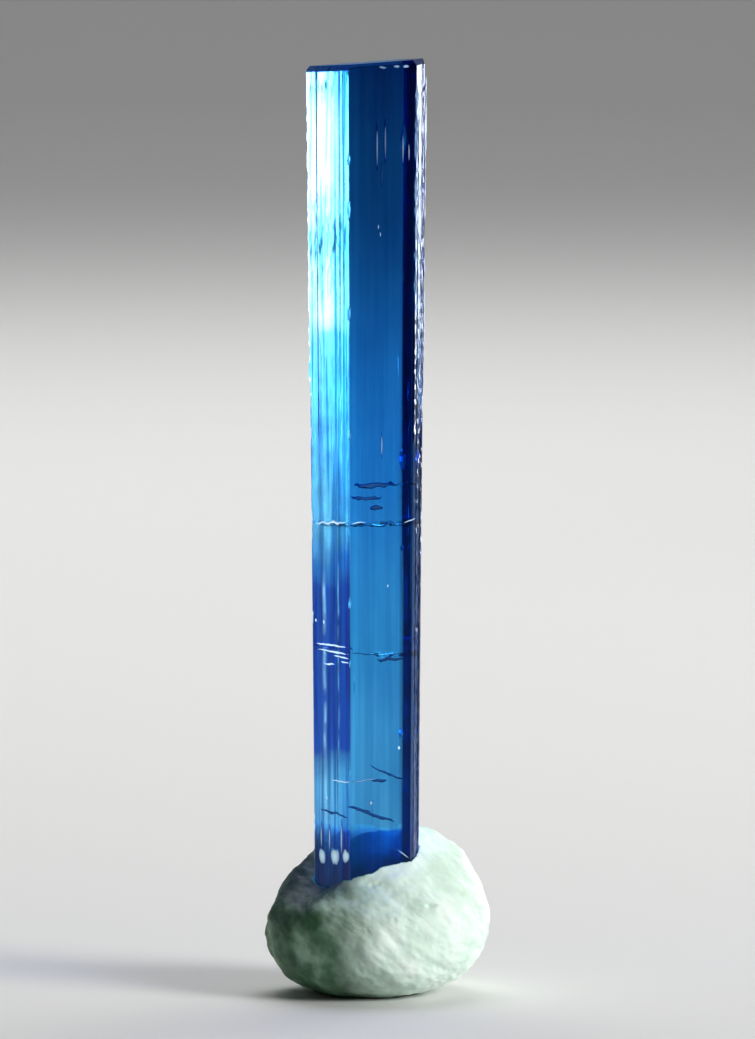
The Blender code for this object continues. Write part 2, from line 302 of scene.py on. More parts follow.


# The grid is furrowed, pitted, narrowed to the foot and chipped. The masks tell the material where
# it is worn, which face it is on, where the skin is paler, and where the dark band lies. noise.fractal
# takes how fast its layers fade, how much finer each one is, and how many there are.
worn_mask = bm.verts.layers.float.new("worn")
front_left_mask = bm.verts.layers.float.new("front_left")
across_left_mask = bm.verts.layers.float.new("across_left")
front_mask = bm.verts.layers.float.new("front")
strip_mask = bm.verts.layers.float.new("pale_strip")
dark_band_mask = bm.verts.layers.float.new("dark_band")
for vert in bm.verts:
    face, along = face_place(vert.co)
    height, width = vert.co.z, FACE_WIDTHS[face]
    worn = WORN_SIDES.get(face, 0.0)
    deep = furrow_depth(face, along, height)
    if face == RIGHT:
        deep += PITTING_DEPTH * noise.fractal(vert.co / PITTING_SIZE, 0.6, 2.0, 3)
        worn *= patchy_share(vert.co / WORN_PATCH, level=1.0, contrast=1.4)
    if face == FRONT_LEFT:
        vert[front_left_mask] = 1.0
        vert[across_left_mask] = along / width
        for share, half, low, high in FROSTED_LINES:
            stray = LINE_STRAY * noise.noise(Vector((share, 0, height / STRAY_LENGTH)))
            whole = patchy_share(Vector((share, 5, height / BREAK_LENGTH)), level=0.65, contrast=1.9)
            ends = held(min(height / MM - low, high - height / MM))
            near = held(1.2 - abs(along - share * width - stray) / (half * MM))
            worn = max(worn, WORN_ON_LINES * (ends * whole) * near)
    if face == FRONT:
        vert[front_mask] = 1.0
        vert[strip_mask] = held(1.5 - 1.5 * along / PALE_STRIP)
        near_edge = 1 - (width - along) / dark_band_width(height)
        vert[dark_band_mask] = held(near_edge * DARK_BAND_FADE)
    if face == RIGHT:
        reach = DARK_BAND_RIGHT_FACE + DARK_BAND_FRONT_RISE * held(1 - 2 * along / width)
        vert[dark_band_mask] = held((reach - height) / DARK_BAND_RISE_FADE)
        worn *= 1 - vert[dark_band_mask]
        if width - along < WORN_RIM:
            worn, vert[dark_band_mask] = WORN_ON_RIM, 0.0
    place, taken = grown(vert.co - FACE_NORMALS[face] * deep)
    vert.co, chipped = scooped(place)
    on_ledge = taken and face in (FRONT_LEFT, BACK_LEFT)
    vert[worn_mask] = max(worn, chipped, WORN_ON_LEDGES * on_ledge)
    if chipped:
        vert[dark_band_mask] = 0.0


def cut_off(bm, point, normal, guard=0.0):
    """Takes off what lies beyond the plane and closes the cut with one flat face. A guard first
    adds a line of points that far below the cut, so that a mask on the cut fades within it."""
    for below in [guard, 0.0] if guard else [0.0]:
        cut = bmesh.ops.bisect_plane(
            bm,
            geom=bm.verts[:] + bm.edges[:] + bm.faces[:],
            dist=1e-8,
            plane_co=point - normal * below,
            plane_no=normal,
            clear_outer=below == 0,
        )
    rim = [e for e in cut["geom_cut"] if isinstance(e, bmesh.types.BMEdge)]
    return bmesh.ops.contextual_create(bm, geom=rim)["faces"]


# The top is one broad face that falls to the left, with a narrow facet along each of its edges:
# how far down its side face each facet reaches in mm, and how steep it is.
TOP_SLOPE = 3.9
TOP_FACETS = {
    FRONT_LEFT: (0.32, 58),
    FRONT: (0.16, 50),
    RIGHT: (0.30, 52),
    BACK_RIGHT: (0.14, 45),
    BACK: (0.20, 48),
    BACK_LEFT: (0.16, 45),
}
TOP_GUARD = 0.04 * MM
top_right = max(corner.x for corner in CORNERS)
top_normal = Vector((-sin(radians(TOP_SLOPE)), 0, cos(radians(TOP_SLOPE))))
for face in cut_off(bm, Vector((top_right, 0, CRYSTAL_TOP)), top_normal, guard=TOP_GUARD):
    for vert in face.verts:
        vert[worn_mask] = 1.0
facet_mask = bm.verts.layers.float.new("top_facet")
for face, (reach, steep) in TOP_FACETS.items():
    facet_foot, taken = grown(CORNERS[face] + UP * CRYSTAL_TOP)
    facet_foot.z = CRYSTAL_TOP - (top_right - facet_foot.x) * tan(radians(TOP_SLOPE)) - reach * MM
    tilted = FACE_NORMALS[face] * sin(radians(steep)) + top_normal * cos(radians(steep))
    for facet in cut_off(bm, facet_foot, tilted, guard=TOP_GUARD):
        for vert in facet.verts:
            vert[facet_mask] = 1.0
            vert[worn_mask] = 0.0
for break_normal in FOOT_BREAKS:
    cut_off(bm, CRYSTAL_AXIS + UP * FOOT_HEIGHT, break_normal)
bmesh.ops.recalc_face_normals(bm, faces=bm.faces)

# Hollows inside the crystal keep this far from its sides
CLEAR_OF_SIDES = 0.10 * MM


def kept_inside(place):
    """Brings a point back into the crystal if it is nearer to a side than CLEAR_OF_SIDES."""
    for corner, normal in zip(CORNERS, FACE_NORMALS):
        side = CRYSTAL_AXIS + (corner - CRYSTAL_AXIS) * girth(place.z)
        beyond = (place - side).dot(normal) + CLEAR_OF_SIDES
        if beyond > 0:
            place = place - normal * beyond
    return place


hollows = bmesh.new()
hollow_worn_mask = hollows.verts.layers.float.new("worn")


def hollow_ball(segments, rings, worn):
    """The points of a ball of radius 1 that is turned inside out, and so is a hollow."""
    ball = bmesh.ops.create_uvsphere(hollows, u_segments=segments, v_segments=rings, radius=1)["verts"]
    bmesh.ops.reverse_faces(hollows, faces=list({f for v in ball for f in v.link_faces}))
    for vert in ball:
        vert[hollow_worn_mask] = worn
    return ball


# Healed cracks are thin gaps across the crystal: flat lenses with wavy sides. Each has its middle,
# half its size along X and along Y, how thick it is, how much it rises to the right and to the
# back, and how far it waves. Its number gives it a part of the noise of its own.
CRACK_RAGGEDNESS = 0.22
CRACKS = [
    ((-0.20, 0.40, 25.25), (2.4, 1.3), 0.014, (0.010, 0.03), 0.18),
    ((0.90, -0.60, 27.4), (1.3, 1.0), 0.012, (0.06, 0.02), 0.08),
    ((-2.30, -0.70, 18.7), (0.9, 0.8), 0.014, (-0.06, 0.02), 0.07),
    ((0.80, -0.60, 18.3), (1.5, 1.1), 0.012, (-0.05, 0.05), 0.07),
]
for number, (middle, size, thick, rise, wave) in enumerate(CRACKS):
    for vert in hollow_ball(segments=40, rings=14, worn=0.0):
        ball = vert.co.copy()
        across = Vector((ball.x * size[0], ball.y * size[1], number * 7.3))
        ragged = 1 + CRACK_RAGGEDNESS * noise.noise(Vector((ball.x * 1.7, ball.y * 1.7, number * 3.1)))
        level = rise[0] * across.x + rise[1] * across.y + ball.z * thick / 2
        level += wave * noise.fractal(across * 1.3, 0.7, 2.0, 4)
        place = Vector(middle) + Vector((across.x * ragged, across.y * ragged, level))
        vert.co = kept_inside(place * MM)

# Growth tubes run lengthwise: fine hollow needles, mostly behind the front face. In mm: how far each
# may be to the right of the axis and behind it, its height, which is mostly near the last value,
# half its length, and half how thick it is.
TUBES = 9
TUBE_RIGHT, TUBE_BEHIND, TUBE_HEIGHT = (-2.6, 2.4), (-1.5, 1.2), (9, 48, 42)
TUBE_HALF_LENGTH, TUBE_RADIUS = (0.4, 1.9), (0.014, 0.026)
for _ in range(TUBES):
    aside = Vector((chance.uniform(*TUBE_RIGHT), chance.uniform(*TUBE_BEHIND), 0))
    spot = CRYSTAL_AXIS + aside * MM
    level = chance.triangular(*TUBE_HEIGHT) * MM
    half_length = chance.uniform(*TUBE_HALF_LENGTH) * MM
    thickness = chance.uniform(*TUBE_RADIUS) * MM
    for vert in hollow_ball(segments=8, rings=10, worn=0.5):
        ball = vert.co.copy()
        needle = Vector((ball.x * thickness, ball.y * thickness, level + ball.z * half_length))
        vert.co = kept_inside(spot + needle)

hollow_mesh = bpy.data.meshes.new("hollows")
hollows.to_mesh(hollow_mesh)
hollows.free()
bm.from_mesh(hollow_mesh)
bpy.data.meshes.remove(hollow_mesh)


def finished_piece(name, bm, material):
    """Makes the bmesh an object in the scene, with its place in its mesh."""
    mesh = bpy.data.meshes.new(name)
    bm.to_mesh(mesh)
    bm.free()
    mesh.materials.append(material)
    piece = bpy.data.objects.new(name, mesh)
    bpy.context.scene.collection.objects.link(piece)
    return piece


def new_material(name):
    """A material, its nodes, its links and its Principled shader."""
    material = bpy.data.materials.new(name)
    material.use_nodes = True
    nodes, links = material.node_tree.nodes, material.node_tree.links
    return material, nodes, links, nodes["Principled BSDF"]


def fed(links, socket, value):
    """Feeds a socket with another socket, or sets it to a plain value."""
    if isinstance(value, bpy.types.NodeSocket):
        links.new(value, socket)
    else:
        socket.default_value = value


def ramp(nodes, links, factor, stops):
    """A Color Ramp fed by factor. Each stop is a position and a colour."""
    made = nodes.new("ShaderNodeValToRGB")
    elements = made.color_ramp.elements
    while len(elements) < len(stops):
        elements.new(0.5)
    for element, (position, colour) in zip(elements, stops):
        element.position = position
        element.color = (*colour, 1)
    links.new(factor, made.inputs["Fac"])
    return made.outputs["Color"]


def share_ramp(nodes, links, factor, stops):
    """A Color Ramp that gives a share. Each stop is a position and a share."""
    return ramp(nodes, links, factor, [(position, (share,) * 3) for position, share in stops])


def multiply_add(nodes, links, value, factor, added):
    """value times factor, plus added."""
    made = nodes.new("ShaderNodeMath")
    made.operation = "MULTIPLY_ADD"
    for socket, number in zip(made.inputs, (value, factor, added)):
        fed(links, socket, number)
    return made.outputs["Value"]


def remapped(nodes, links, value, low, high, to_low, to_high):
    """value brought from the range low to high into another, and held within it."""
    made = nodes.new("ShaderNodeMapRange")
    for socket, number in (("From Min", low), ("From Max", high), ("To Min", to_low), ("To Max", to_high)):
        fed(links, made.inputs[socket], number)
    links.new(value, made.inputs["Value"])
    return made.outputs["Result"]


def mixed(nodes, links, blend, factor, one, other):
    """Two colours mixed. factor and the colours are sockets or plain values."""
    made = nodes.new("ShaderNodeMix")
    made.data_type, made.blend_type = "RGBA", blend
    for name, value in (("Factor", factor), ("A", one), ("B", other)):
        fed(links, next(s for s in made.inputs if s.name == name and s.enabled), value)
    return next(s for s in made.outputs if s.enabled)


def mask(nodes, name):
    """The mask of that name, as a value from 0 to 1."""
    made = nodes.new("ShaderNodeAttribute")
    made.attribute_name = name
    return made.outputs["Fac"]


def bumped(nodes, links, height, strength, distance):
    """The normal of a surface that height raises by up to distance."""
    made = nodes.new("ShaderNodeBump")
    made.inputs["Strength"].default_value = strength
    made.inputs["Distance"].default_value = distance
    links.new(height, made.inputs["Height"])
    return made.outputs["Normal"]


def new_group(name, inputs, output):
    """A shader node group with named sockets: its nodes, its links, what comes in, and the socket
    that goes out. Each input has its name and its kind, and the output is a value."""
    group = bpy.data.node_groups.new(name, "ShaderNodeTree")
    for label, kind in inputs.items():
        group.interface.new_socket(label, in_out="INPUT", socket_type=f"NodeSocket{kind}")
    group.interface.new_socket(output, in_out="OUTPUT", socket_type="NodeSocketFloat")
    nodes = group.nodes
    comes_in, goes_out = nodes.new("NodeGroupInput"), nodes.new("NodeGroupOutput")
    return group, nodes, group.links, comes_in.outputs, goes_out.inputs[output]


def placed(nodes, links, group, values):
    """Places a group in a material with its own values, and gives its output."""
    made = nodes.new("ShaderNodeGroup")
    made.node_tree = group
    for name, value in values.items():
        fed(links, made.inputs[name], value)
    return made.outputs[0]


# Drawn noise is the striation, mottling and grain of every finish here: noise that is drawn out
# along an axis where Stretch is below 1
drawn_noise, nodes, links, comes_in, goes_out = new_group(
    "drawn_noise",
    inputs={"Place": "Vector", "Stretch": "Vector", "Scale": "Float", "Detail": "Float"},
    output="Value",
)
drawn = nodes.new("ShaderNodeMapping")
links.new(comes_in["Place"], drawn.inputs["Vector"])
links.new(comes_in["Stretch"], drawn.inputs["Scale"])
texture = nodes.new("ShaderNodeTexNoise")
links.new(drawn.outputs["Vector"], texture.inputs["Vector"])
links.new(comes_in["Scale"], texture.inputs["Scale"])
links.new(comes_in["Detail"], texture.inputs["Detail"])
links.new(texture.outputs["Fac"], goes_out)

# A wandering zone goes from 0 to 1 as a position goes from Start to End, with a border that noise
# moves by up to Wander
wandering_zone, nodes, links, comes_in, goes_out = new_group(
    "wandering_zone",
    inputs={name: "Float" for name in ("Position", "Noise", "Wander", "Start", "End")},
    output="Share",
)
wandered = multiply_add(nodes, links, comes_in["Noise"], comes_in["Wander"], comes_in["Position"])
links.new(remapped(nodes, links, wandered, comes_in["Start"], comes_in["End"], 0, 1), goes_out)


def noise_over(nodes, links, place, scale, detail, stretch=(1, 1, 1)):
    """Drawn noise, placed in a material."""
    values = {"Place": place, "Stretch": stretch, "Scale": scale, "Detail": detail}
    return placed(nodes, links, drawn_noise, values)


def zone_over(nodes, links, position, border_noise, wander, start, end):
    """A wandering zone, placed in a material."""
    values = {"Position": position, "Noise": border_noise, "Wander": wander, "Start": start, "End": end}
    return placed(nodes, links, wandering_zone, values)


# Clear and glossy. The stone itself takes out the red and part of the green. Its colour deepens
# from azure at the foot to navy at the top, partly its own zoning and partly painted light, and the
# front-left face has its own bands of painted light and shade.
tourmaline, nodes, links, glass = new_material("blue_tourmaline")
output = nodes["Material Output"]
glass.inputs["Transmission Weight"].default_value = 1.0
glass.inputs["IOR"].default_value = 1.63
glass.inputs["Specular IOR Level"].default_value = 0.3
# The reflections are tinted blue and dimmed: painted shade that stands in for a darker room in front
glass.inputs["Specular Tint"].default_value = (0.12, 0.36, 0.76, 1)
where = nodes.new("ShaderNodeTexCoord").outputs["Object"]
split = nodes.new("ShaderNodeSeparateXYZ")
links.new(where, split.inputs["Vector"])

# The colour zones lie across the crystal: 0 is the putty's underside, 1 is the crystal's top, and
# 0.02 is a millimetre. The noise is about a half, so the zones start half a wander higher.
ZONE_WANDER = 4.0 * MM
drift = noise_over(nodes, links, where, scale=260, detail=2)
zone = zone_over(
    nodes, links, split.outputs["Z"], drift,
    wander=ZONE_WANDER, start=ZONE_WANDER / 2, end=CRYSTAL_TOP + ZONE_WANDER / 2,
)
# Partly the stone's own zoning, partly painted light
front_zoning_and_light = ramp(nodes, links, zone, [
    (0.135, (0.02, 0.12, 0.16)),
    (0.15, (0.10, 0.40, 0.50)),
    (0.165, (0.60, 1.00, 1.00)),
    (0.38, (0.20, 0.80, 1.00)),
    (0.56, (0.05, 0.44, 1.00)),
    (0.78, (0.02, 0.26, 0.80)),
    (0.92, (0.01, 0.18, 0.60)),
    (0.99, (0.002, 0.04, 0.30)),
])
# The front-left face by height: pale cyan and warm bands of painted light where the lamp behind shines
# through it, and navy bands of painted shade
left_painted_light = ramp(nodes, links, zone, [
    (0.135, (0.05, 0.15, 0.25)),
    (0.16, (0.06, 0.20, 0.40)),
    (0.175, (0.40, 0.80, 1.00)),
    (0.23, (0.45, 1.00, 1.00)),
    (0.27, (0.004, 0.025, 0.30)),
    (0.45, (0.004, 0.025, 0.28)),
    (0.475, (0.03, 0.20, 0.60)),
    (0.505, (0.40, 1.00, 1.00)),
    (0.56, (0.22, 0.80, 1.00)),
    (0.61, (0.10, 0.40, 0.90)),
    (0.66, (0.03, 0.12, 0.45)),
    (0.705, (0.05, 0.13, 0.35)),
    (0.735, (0.60, 0.50, 0.35)),
    (0.77, (0.35, 0.33, 0.30)),
    (0.80, (0.12, 0.20, 0.22)),
    (0.83, (0.26, 0.28, 0.26)),
    (0.86, (0.70, 0.45, 0.33)),
    (0.93, (0.65, 0.42, 0.32)),
    (0.955, (0.30, 0.30, 0.27)),
])
left_edge_shade = ramp(nodes, links, mask(nodes, "across_left"), [
    (0.00, (0.14, 0.40, 0.80)),
    (0.20, (0.14, 0.40, 0.80)),
    (0.27, (0.70, 0.85, 0.95)),
    (0.75, (1.00, 1.00, 1.00)),
])
left_shaded = mixed(nodes, links, "MULTIPLY", 1.0, left_painted_light, left_edge_shade)
# Three dark lines are scored down the upper half of the front-left face, near its right edge
SCORED, SCORED_REACH = [0.68, 0.78, 0.87], 0.03
scored_stops = []
for share in SCORED:
    scored_stops.append((share - SCORED_REACH, (1, 1, 1)))
    scored_stops.append((share, (0, 0.003, 0.002)))
    scored_stops.append((share + SCORED_REACH, (1, 1, 1)))
scored = ramp(nodes, links, mask(nodes, "across_left"), scored_stops)
scored_share = share_ramp(nodes, links, zone, [(0.62, 0.10), (0.74, 0.97)])
scored_left = mixed(nodes, links, "MULTIPLY", scored_share, left_shaded, scored)
strip_shade = mixed(nodes, links, "MIX", mask(nodes, "pale_strip"), (0.62, 0.66, 0.72, 1), (1, 1, 1, 1))
patches = noise_over(nodes, links, where, scale=420, detail=3, stretch=(1, 1, 0.35))
patchy = ramp(nodes, links, patches, [(0.36, (0.50, 0.66, 0.78)), (0.62, (1, 1, 1))])
front_shade = mixed(nodes, links, "MULTIPLY", 1.0, strip_shade, patchy)
front_skin = mixed(nodes, links, "MULTIPLY", 1.0, front_zoning_and_light, front_shade)
left_skin = mixed(nodes, links, "MIX", mask(nodes, "front_left"), (1, 1, 1, 1), scored_left)
two_skins = mixed(nodes, links, "MIX", mask(nodes, "front"), left_skin, front_skin)
# The dark band, which is painted shade where it takes in the low right face
dark_band = mixed(nodes, links, "MULTIPLY", mask(nodes, "dark_band"), two_skins, (0.004, 0.025, 0.08, 1))

# Striations: fine streaks on every face, and bands and dashes on the front-left face
fine_streaks = noise_over(nodes, links, where, scale=3600, detail=2, stretch=(1, 1, 0.02))
streak = ramp(nodes, links, fine_streaks, [(0.35, (0.66, 0.74, 0.83)), (0.65, (1, 1, 1))])
streaked = mixed(nodes, links, "MULTIPLY", 1.0, dark_band, streak)
bands = noise_over(nodes, links, where, scale=3000, detail=2, stretch=(1, 1, 0.03))
band = ramp(nodes, links, bands, [(0.38, (0.06, 0.18, 0.40)), (0.54, (1, 1, 1))])
banded = mixed(nodes, links, "MULTIPLY", mask(nodes, "front_left"), streaked, band)
dashes = noise_over(nodes, links, where, scale=5200, detail=3, stretch=(1, 1, 0.20))
dash = ramp(nodes, links, dashes, [(0.36, (0, 0.02, 0.01)), (0.44, (0.15, 0.30, 0.25)), (0.52, (1, 1, 1))])
# The dashes crowd together at the top and in a band 10 mm below it
dash_share = share_ramp(nodes, links, zone, [
    (0.20, 0.10),
    (0.60, 0.10),
    (0.66, 0.45),
    (0.735, 0.35),
    (0.79, 1.00),
    (0.83, 0.90),
    (0.87, 0.25),
    (0.94, 0.25),
    (0.965, 1.00),
])
crowded = mixed(nodes, links, "MULTIPLY", 1.0, mask(nodes, "front_left"), dash_share)
dashed = mixed(nodes, links, "MULTIPLY", crowded, banded, dash)
# The narrow top facets are painted near-black navy: painted shade for the dark they show
facets_shaded = mixed(nodes, links, "MIX", mask(nodes, "top_facet"), dashed, (0.002, 0.008, 0.05, 1))
tinted = mixed(nodes, links, "MIX", mask(nodes, "worn"), facets_shaded, (0.60, 0.80, 0.77, 1))
links.new(tinted, glass.inputs["Base Color"])

# It is polished, a little less so on the front-left face, and frosted where it is worn
smears = noise_over(nodes, links, where, scale=900, detail=3)
polish = remapped(nodes, links, smears, low=0.35, high=0.75, to_low=0.02, to_high=0.08)
duller_left = multiply_add(nodes, links, mask(nodes, "front_left"), factor=0.10, added=polish)
frosted = multiply_add(nodes, links, mask(nodes, "worn"), factor=0.35, added=duller_left)
links.new(frosted, glass.inputs["Roughness"])

grooves = noise_over(nodes, links, where, scale=5200, detail=2, stretch=(1, 1, 0.012))
grooved = bumped(nodes, links, grooves, strength=0.15, distance=0.01 * MM)
links.new(grooved, glass.inputs["Normal"])

blue_body = nodes.new("ShaderNodeVolumeAbsorption")
blue_body.inputs["Color"].default_value = (0.0, 0.676, 0.979, 1)
blue_body.inputs["Density"].default_value = 710
links.new(blue_body.outputs["Volume"], output.inputs["Volume"])

# Light that reaches the putty through the crystal is only tinted by the stone.
rays = nodes.new("ShaderNodeLightPath")
let_through = nodes.new("ShaderNodeBsdfTransparent")
let_through.inputs["Color"].default_value = (0.22, 0.52, 0.82, 1)
seen_or_shadow = nodes.new("ShaderNodeMixShader")
links.new(rays.outputs["Is Shadow Ray"], seen_or_shadow.inputs["Fac"])
links.new(glass.outputs["BSDF"], seen_or_shadow.inputs[1])
links.new(let_through.outputs["BSDF"], seen_or_shadow.inputs[2])
links.new(seen_or_shadow.outputs["Shader"], output.inputs["Surface"])

crystal = finished_piece("tourmaline_crystal", bm, tourmaline)
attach(crystal, "root")
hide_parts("crystal")


# ----------------------------------- the veils and bruises
# Where the crystal has cracked and healed, or has been knocked, thin films lie in the skin of its
# front faces: white where they are full of air, navy where the stone healed over them. They are
# part of the stone, so they ride with it.

# Each film has its face, where its middle is as a share of the face's width, how high up it is,
# half its length along the face, half its own height, how much it rises along the face, how jagged
# it is, and how white. The sizes are in mm. Its number gives it a part of the noise of its own.
FILMS = [
    (FRONT_LEFT, 0.52, 25.42, 1.45, 0.065, 0.06, 0.20, 1.00),
    (FRONT, 0.14, 25.48, 0.50, 0.038, 0.00, 0.08, 1.00),
    (FRONT, 0.93, 25.55, 0.34, 0.040, 0.35, 0.05, 0.80),
    (FRONT_LEFT, 0.52, 18.87, 1.40, 0.062, -0.02, 0.05, 1.00),
    (FRONT_LEFT, 0.55, 18.54, 1.35, 0.060, -0.04, 0.05, 1.00),
    (FRONT_LEFT, 0.76, 18.30, 0.70, 0.045, -0.09, 0.04, 1.00),
    (FRONT_LEFT, 0.46, 17.85, 0.50, 0.060, 0.00, 0.05, 1.00),
    (FRONT_LEFT, 0.86, 18.03, 0.36, 0.045, -0.03, 0.03, 1.00),
    (FRONT_LEFT, 0.72, 11.65, 0.90, 0.050, 0.00, 0.06, 0.80),
    (FRONT, 0.22, 11.75, 0.80, 0.032, 0.08, 0.04, 0.50),
    # These three white films near the putty are painted highlights: they stand in for bright patches of
    # light there
    (FRONT_LEFT, 0.24, 7.50, 0.30, 0.46, 0.00, 0.10, 1.00),
    (FRONT_LEFT, 0.58, 7.60, 0.42, 0.48, 0.00, 0.12, 1.00),
    (FRONT_LEFT, 0.88, 7.68, 0.34, 0.42, 0.00, 0.10, 1.00),
    (FRONT_LEFT, 0.22, 8.60, 0.07, 0.70, 0.00, 0.00, 0.55),
    (FRONT_LEFT, 0.44, 8.50, 0.07, 0.80, 0.00, 0.00, 0.60),
    (FRONT_LEFT, 0.76, 8.60, 0.08, 0.80, 0.00, 0.00, 0.60),
    (FRONT, 0.87, 7.75, 0.36, 0.034, -0.75, 0.02, 1.00),
    (FRONT_LEFT, 0.33, 20.07, 0.09, 0.13, 0.00, 0.00, 1.00),
    (FRONT_LEFT, 0.12, 20.12, 0.07, 0.11, 0.00, 0.00, 1.00),
    (FRONT_LEFT, 0.38, 10.66, 0.09, 0.12, 0.00, 0.00, 0.80),
    (FRONT, 0.34, 10.53, 0.09, 0.13, 0.00, 0.00, 0.60),
    (FRONT, 0.79, 13.44, 0.08, 0.12, -0.30, 0.00, 1.00),
    (FRONT, 0.60, 22.10, 0.05, 0.09, 0.00, 0.00, 0.80),
    (FRONT, 0.42, 45.40, 0.065, 1.10, 0.00, 0.00, 0.34),
    (FRONT, 0.54, 45.70, 0.065, 1.20, 0.00, 0.00, 0.28),
    (FRONT, 0.49, 43.90, 0.045, 0.80, 0.00, 0.00, 0.00),
    (FRONT, 0.80, 45.30, 0.060, 1.30, 0.00, 0.00, 0.42),
    (FRONT, 0.89, 45.10, 0.050, 0.70, 0.00, 0.00, 0.55),
    (FRONT, 0.44, 41.15, 0.050, 0.15, 0.00, 0.00, 0.55),
    (FRONT, 0.47, 40.75, 0.045, 0.13, 0.00, 0.00, 0.55),
    (FRONT, 0.50, 29.60, 0.035, 0.70, 0.00, 0.00, 0.60),
    (FRONT, 0.50, 49.55, 0.26, 0.08, 0.00, 0.05, 0.40),
    (FRONT, 0.70, 49.60, 0.20, 0.09, 0.00, 0.05, 0.55),
    (FRONT, 0.84, 49.62, 0.20, 0.11, 0.00, 0.05, 0.80),
    (FRONT, 0.38, 27.45, 1.10, 0.130, 0.03, 0.14, 0.12),
    (FRONT, 0.26, 26.80, 0.85, 0.080, 0.02, 0.10, 0.12),
    (FRONT, 0.42, 26.26, 0.36, 0.150, 0.00, 0.05, 0.00),
    (FRONT, 0.22, 18.50, 0.65, 0.030, -0.10, 0.05, 0.00),
    (FRONT, 0.66, 18.20, 0.80, 0.070, 0.10, 0.12, 0.00),
    (FRONT, 0.60, 12.10, 0.95, 0.055, -0.42, 0.08, 0.06),
    (FRONT, 0.47, 11.72, 0.42, 0.080, -0.02, 0.06, 0.00),
    (FRONT, 0.34, 9.95, 1.30, 0.080, -0.34, 0.12, 0.06),
    (FRONT_LEFT, 0.55, 9.90, 1.10, 0.050, -0.10, 0.08, 0.00),
]
FILM_THICKNESS = 0.10 * MM
FILM_SUNK = 0.35 * FILM_THICKNESS  # how far its middle lies below the face, so that it just shows
SOFT_RIM, FULLY_SOFT = 0.85, 0.30  # how much less white a tall film's rim is, and how tall that is
# Along a film, how close the teeth of its edge are, and how close and how strong its swellings are
TEETH_PER_MM, SWELLINGS_PER_MM, SWELLING = 2.6, 3.0, 0.5

bm = bmesh.new()
white_mask = bm.verts.layers.float.new("white")
for number, (face, share, height, half_long, half_tall, rise, jagged, white) in enumerate(FILMS):
    scale = girth(height * MM)
    middle = CRYSTAL_AXIS + (CORNERS[face - 1] - CRYSTAL_AXIS) * scale
    middle += FACE_RUNS[face] * share * FACE_WIDTHS[face] * scale
    middle -= FACE_NORMALS[face] * FILM_SUNK
    middle.z = height * MM
    softness = SOFT_RIM * held(half_tall / FULLY_SOFT)
    for vert in bmesh.ops.create_uvsphere(bm, u_segments=32, v_segments=12, radius=1)["verts"]:
        ball = vert.co.copy()
        along = ball.x * half_long
        teeth = noise.fractal(Vector((along * TEETH_PER_MM, number * 5.3, 0)), 0.6, 2.0, 3)
        ragged = 1 + SWELLING * noise.noise(Vector((along * SWELLINGS_PER_MM, number * 2.1, 4)))
        up = rise * along + jagged * teeth + ball.z * half_tall * ragged
        vert.co = middle + FACE_RUNS[face] * along * MM
        vert.co += UP * up * MM - FACE_NORMALS[face] * ball.y * FILM_THICKNESS / 2
        vert[white_mask] = white * (1 - softness * (ball.x**2 + ball.z**2))


def shade_smooth(bm):
    """Shades a whole mesh as one round surface."""
    for face in bm.faces:
        face.smooth = True


shade_smooth(bm)

healed_film, nodes, links, film = new_material("healed_film")
film_colour = ramp(nodes, links, mask(nodes, "white"), [
    (0.00, (0.008, 0.05, 0.18)),
    (0.12, (0.009, 0.065, 0.24)),
    (1.00, (0.60, 0.86, 1.00)),
])
links.new(film_colour, film.inputs["Base Color"])
film.inputs["Roughness"].default_value = 0.5
film.inputs["Specular IOR Level"].default_value = 0.1

films = finished_piece("healed_films", bm, healed_film)
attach(films, "root")


# ----------------------------------------------- the putty
# A squashed ball of soft whitish-green mounting putty. Fingers have pressed it against the
# crystal, dented it and left soft creases, and it has been set down on its flat underside.

# It is widest at its waist. Its crown above and its belly below have their own height and fullness,
# where 2 is a ball's. The crown rises to the back, and the whole lump to the right.
PUTTY_WIDTH, PUTTY_DEPTH = 12.0 * MM, 10.8 * MM
PUTTY_WAIST, PUTTY_CROWN, PUTTY_BELLY = 3.95 * MM, 4.53 * MM, 4.16 * MM
CROWN_FULLNESS, BELLY_FULLNESS = 2.05, 2.7
RISE_TO_BACK = 0.50
RIGHT_LIFT, LIFT_START = 0.50 * MM, -3.0 * MM
# A lip stands up round the crystal, and the pocket is wider than the crystal by a snug gap
LIP_WIDTH, LIP_HEIGHT, LIP_LUMPS = 0.6 * MM, 0.12 * MM, 0.6 * MM
LIP_RAGGEDNESS = 0.5
SNUG_GAP = 0.03 * MM

# Dents and pits: where each is on the lump, how far round it reaches and how deep it is, in mm.
# Those with a depth below 0 are bulges.
DENTS = [
    ((-4.0, -1.9, 7.0), 3.2, 1.45),
    ((-5.9, 0.4, 5.4), 2.2, 0.50),
    ((-4.2, 1.6, 7.6), 3.0, 0.62),
    ((5.8, 0.3, 6.0), 2.0, 0.24),
    ((-2.8, -5.0, 3.2), 2.6, 0.20),
    ((1.6, -5.2, 4.2), 2.6, 0.16),
    ((1.6, -3.2, 7.1), 2.0, -0.42),
    ((0.5, 2.6, 8.2), 2.6, 0.70),
    ((-2.7, -2.9, 6.2), 1.2, -0.10),
    ((3.6, -4.2, 2.6), 2.6, 0.14),
    ((4.4, 3.0, 6.8), 3.0, 0.26),
    ((0.2, 5.4, 5.6), 3.0, 0.34),
    ((-4.4, 3.6, 2.6), 3.0, 0.30),
]
